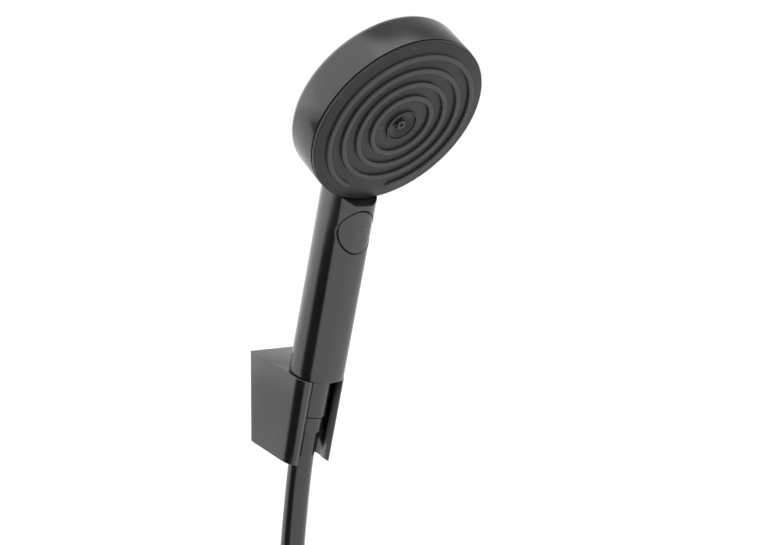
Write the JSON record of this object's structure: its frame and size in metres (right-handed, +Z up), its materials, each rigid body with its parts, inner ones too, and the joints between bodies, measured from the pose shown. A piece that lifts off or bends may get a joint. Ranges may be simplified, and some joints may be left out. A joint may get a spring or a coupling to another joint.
{
  "type": "handheld shower head with wall holder and hose",
  "caption": "Round-faced handheld shower head with a selector button, resting in an open-fronted wall holder, with a smooth hose hanging from its swivel nut.",
  "frame": {"origin": "centre of the wall bracket's back face, on the wall plane", "axes": "+Z up, +Y into the wall, the handset stands out towards -Y with its handle tilted 15.5 degrees"},
  "size_m": [0.164, 0.1409, 0.5368],
  "materials": {
    "satin_black_casing": "satin black coating on moulded plastic",
    "satin_black_hose": "satin black smooth hose cover",
    "face_black": "fine matt black moulding",
    "silicone_grey": "soft dark grey silicone",
    "moulded_white": "plain white moulding",
    "moulded_grey": "plain grey moulding",
    "seal_rubber": "black rubber",
    "brass": "machined brass",
    "steel": "stainless steel"
  },
  "bodies": {
    "holder": {"holder_body": "satin_black_casing", "wall_bracket": "moulded_grey", "bracket_set_screw": "steel"},
    "hose": {"hose_ferrule": "satin_black_casing", "swivel_nipple": "brass", "hose_tube": "satin_black_hose", "hose_coil": "satin_black_hose", "hose_tie": "seal_rubber", "far_ferrule": "satin_black_casing"},
    "handset": {"handset_shell": "satin_black_casing", "face_plate": "face_black", "nozzle_ring_1": "silicone_grey", "nozzle_ring_2": "silicone_grey", "nozzle_ring_3": "silicone_grey", "nozzle_ring_4": "silicone_grey", "face_gasket": "seal_rubber", "distributor_plate": "moulded_white", "gallery_plate": "moulded_grey", "distributor_seal": "seal_rubber", "centre_insert": "face_black", "centre_nozzle": "silicone_grey", "centre_screw": "steel", "button_spring": "steel", "stem_seal": "seal_rubber", "selector_housing": "moulded_white", "inlet_connector": "satin_black_casing", "check_valve_body": "moulded_white", "check_valve_spring": "steel", "flow_regulator": "moulded_grey", "connector_seal": "seal_rubber", "lower_water_tube": "moulded_white", "upper_water_tube_left": "moulded_white", "upper_water_tube_centre": "moulded_white", "upper_water_tube_right": "moulded_white", "hose_nut": "satin_black_casing", "nut_washer": "seal_rubber"},
    "button": {"button_cap": "satin_black_casing"},
    "selector": {"selector_cam": "moulded_grey"},
    "check_poppet": {"check_valve_poppet": "moulded_grey"},
    "far_swivel_nut": {"far_nut": "satin_black_casing", "far_washer": "seal_rubber"}
  },
  "joints": [
    {"name": "handset_lift", "type": "slide", "parent": "holder", "child": "hose", "axis": [0, -0.2672, 0.9636], "range_m": [0, 0.036]},
    {"name": "handset_swivel", "type": "hinge", "parent": "hose", "child": "handset", "pos_m": [0, -0.0394, 0.01528], "axis": [0, -0.2672, 0.9636], "continuous": true},
    {"name": "button_press", "type": "slide", "parent": "handset", "child": "button", "axis": [0, 0.9636, 0.2672], "range_m": [0, 0.0026], "stiffness_N_per_m": 1500, "springref_m": -0.002},
    {"name": "selector_turn", "type": "hinge", "parent": "handset", "child": "selector", "pos_m": [0, -0.06292, 0.10008], "axis": [0, 0.9636, 0.2672], "range_deg": [0, 60]},
    {"name": "check_valve_lift", "type": "slide", "parent": "handset", "child": "check_poppet", "axis": [0, -0.2672, 0.9636], "range_m": [0, 0.002], "stiffness_N_per_m": 100, "springref_m": -0.003},
    {"name": "far_nut_turn", "type": "hinge", "parent": "hose", "child": "far_swivel_nut", "pos_m": [0.06712, -0.0632, -0.28207], "axis": [-0.5075, 0, -0.8616], "continuous": true}
  ],
  "couplings": [
    {"joint": "selector_turn", "follows": "button_press", "rad_per_m": 402.77}
  ]
}
